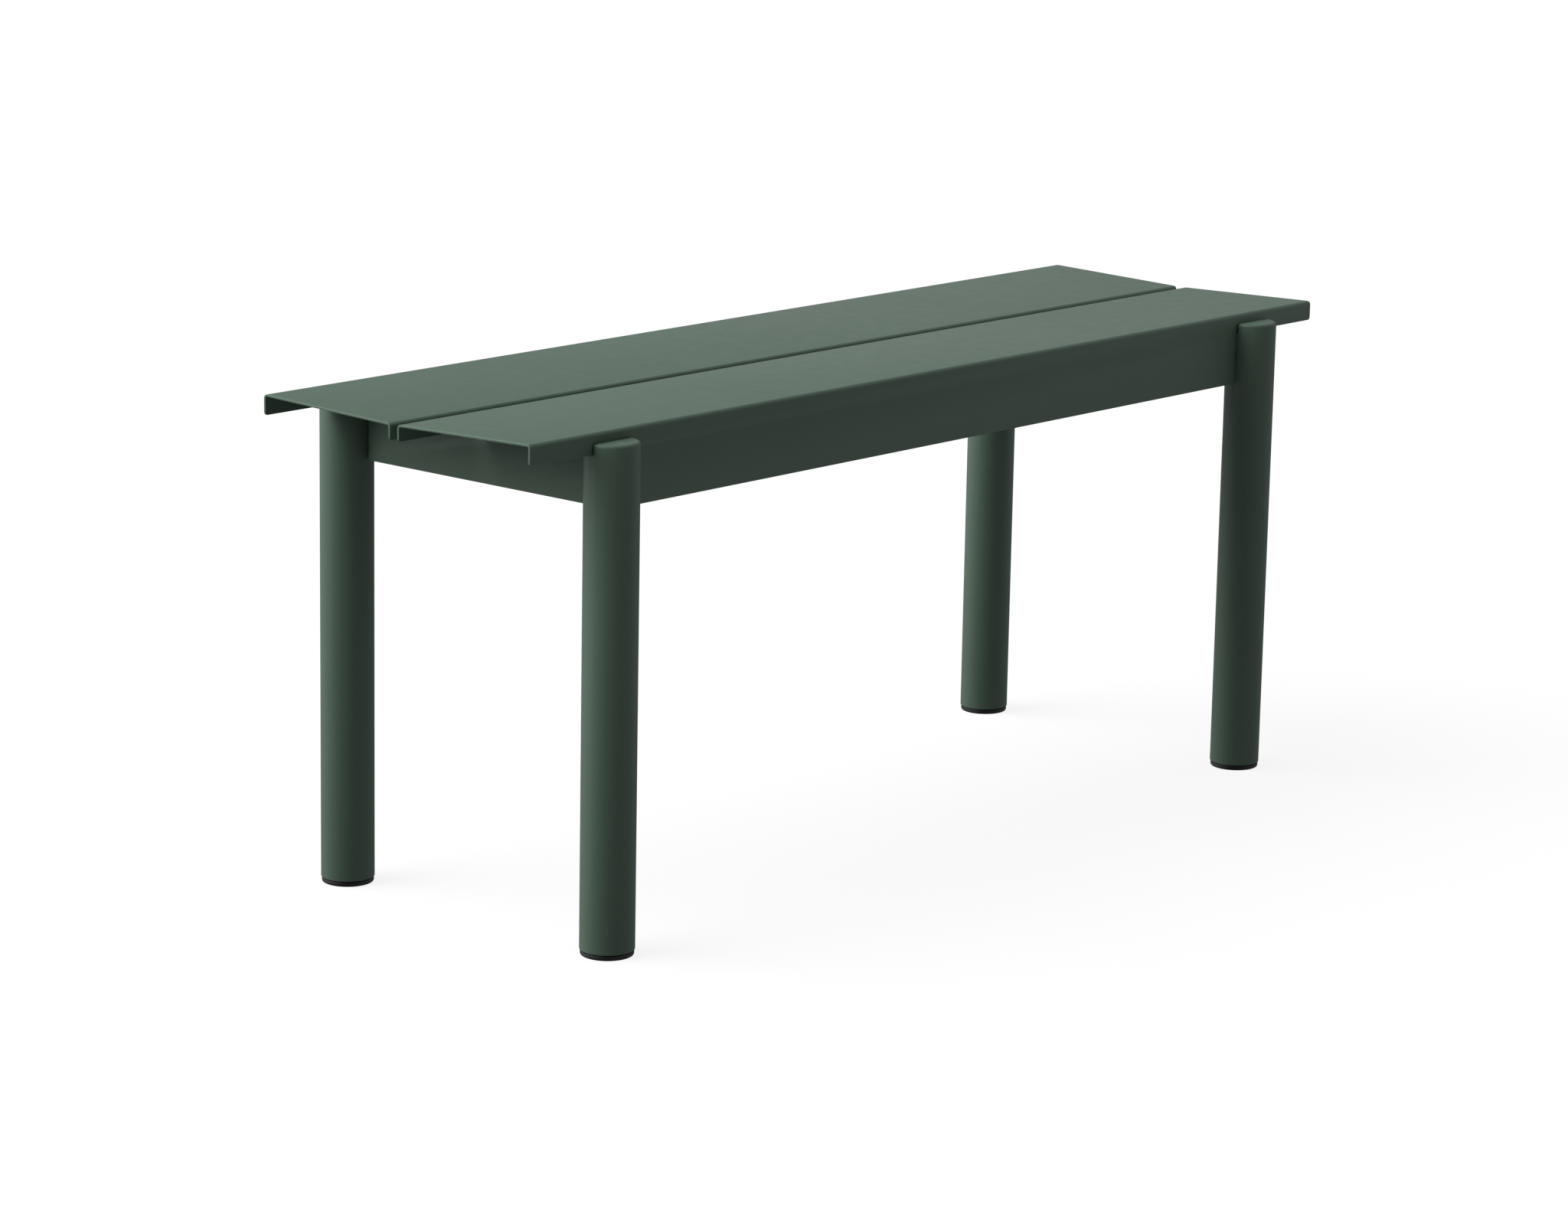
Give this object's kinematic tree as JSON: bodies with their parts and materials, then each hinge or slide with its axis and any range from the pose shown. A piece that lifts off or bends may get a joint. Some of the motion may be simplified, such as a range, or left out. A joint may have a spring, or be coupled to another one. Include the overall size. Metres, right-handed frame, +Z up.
{
  "type": "backless bench",
  "caption": "Backless steel bench: two folded seat planks with a drainage gap on round slotted legs with screw-adjusted foot pads.",
  "frame": {"origin": "on the floor, under the middle of the seat", "axes": "+X along the seat, -Y towards the front long side, +Z up"},
  "size_m": [1.1, 0.368, 0.4549],
  "materials": {
    "powder_coat": "matte dark green powder coat on steel, fine texture",
    "black_nylon": "black moulded nylon, matte",
    "zinc_steel": "zinc-plated steel"
  },
  "bodies": {
    "frame": {"front_plank": "powder_coat", "rear_plank": "powder_coat", "left_end_rail": "powder_coat", "right_end_rail": "powder_coat", "middle_rail": "powder_coat", "seat_studs": "zinc_steel", "seat_washers": "zinc_steel", "seat_nuts": "zinc_steel", "front_left_leg_tube": "powder_coat", "front_left_leg_cap": "powder_coat", "front_left_gusset": "powder_coat", "front_left_foot_plug": "black_nylon", "front_left_foot_nut": "zinc_steel", "front_right_leg_tube": "powder_coat", "front_right_leg_cap": "powder_coat", "front_right_gusset": "powder_coat", "front_right_foot_plug": "black_nylon", "front_right_foot_nut": "zinc_steel", "rear_left_leg_tube": "powder_coat", "rear_left_leg_cap": "powder_coat", "rear_left_gusset": "powder_coat", "rear_left_foot_plug": "black_nylon", "rear_left_foot_nut": "zinc_steel", "rear_right_leg_tube": "powder_coat", "rear_right_leg_cap": "powder_coat", "rear_right_gusset": "powder_coat", "rear_right_foot_plug": "black_nylon", "rear_right_foot_nut": "zinc_steel"},
    "front_left_pad": {"front_left_foot_pad": "black_nylon"},
    "front_left_screw": {"front_left_foot_screw": "zinc_steel"},
    "front_right_pad": {"front_right_foot_pad": "black_nylon"},
    "front_right_screw": {"front_right_foot_screw": "zinc_steel"},
    "rear_left_pad": {"rear_left_foot_pad": "black_nylon"},
    "rear_left_screw": {"rear_left_foot_screw": "zinc_steel"},
    "rear_right_pad": {"rear_right_foot_pad": "black_nylon"},
    "rear_right_screw": {"rear_right_foot_screw": "zinc_steel"}
  },
  "joints": [
    {"name": "front_left_foot_height", "type": "slide", "parent": "frame", "child": "front_left_pad", "axis": [0, 0, -1], "range_m": [0, 0.009]},
    {"name": "front_left_screw_turn", "type": "hinge", "parent": "front_left_pad", "child": "front_left_screw", "pos_m": [-0.452, -0.16, 0], "axis": [0, 0, -1], "range_deg": [0, 2160]},
    {"name": "front_right_foot_height", "type": "slide", "parent": "frame", "child": "front_right_pad", "axis": [0, 0, -1], "range_m": [0, 0.009]},
    {"name": "front_right_screw_turn", "type": "hinge", "parent": "front_right_pad", "child": "front_right_screw", "pos_m": [0.452, -0.16, 0], "axis": [0, 0, -1], "range_deg": [0, 2160]},
    {"name": "rear_left_foot_height", "type": "slide", "parent": "frame", "child": "rear_left_pad", "axis": [0, 0, -1], "range_m": [0, 0.009]},
    {"name": "rear_left_screw_turn", "type": "hinge", "parent": "rear_left_pad", "child": "rear_left_screw", "pos_m": [-0.452, 0.16, 0], "axis": [0, 0, -1], "range_deg": [0, 2160]},
    {"name": "rear_right_foot_height", "type": "slide", "parent": "frame", "child": "rear_right_pad", "axis": [0, 0, -1], "range_m": [0, 0.009]},
    {"name": "rear_right_screw_turn", "type": "hinge", "parent": "rear_right_pad", "child": "rear_right_screw", "pos_m": [0.452, 0.16, 0], "axis": [0, 0, -1], "range_deg": [0, 2160]}
  ],
  "couplings": [
    {"joint": "front_left_screw_turn", "follows": "front_left_foot_height", "rad_per_m": 4188.8},
    {"joint": "front_right_screw_turn", "follows": "front_right_foot_height", "rad_per_m": 4188.8},
    {"joint": "rear_left_screw_turn", "follows": "rear_left_foot_height", "rad_per_m": 4188.8},
    {"joint": "rear_right_screw_turn", "follows": "rear_right_foot_height", "rad_per_m": 4188.8}
  ]
}
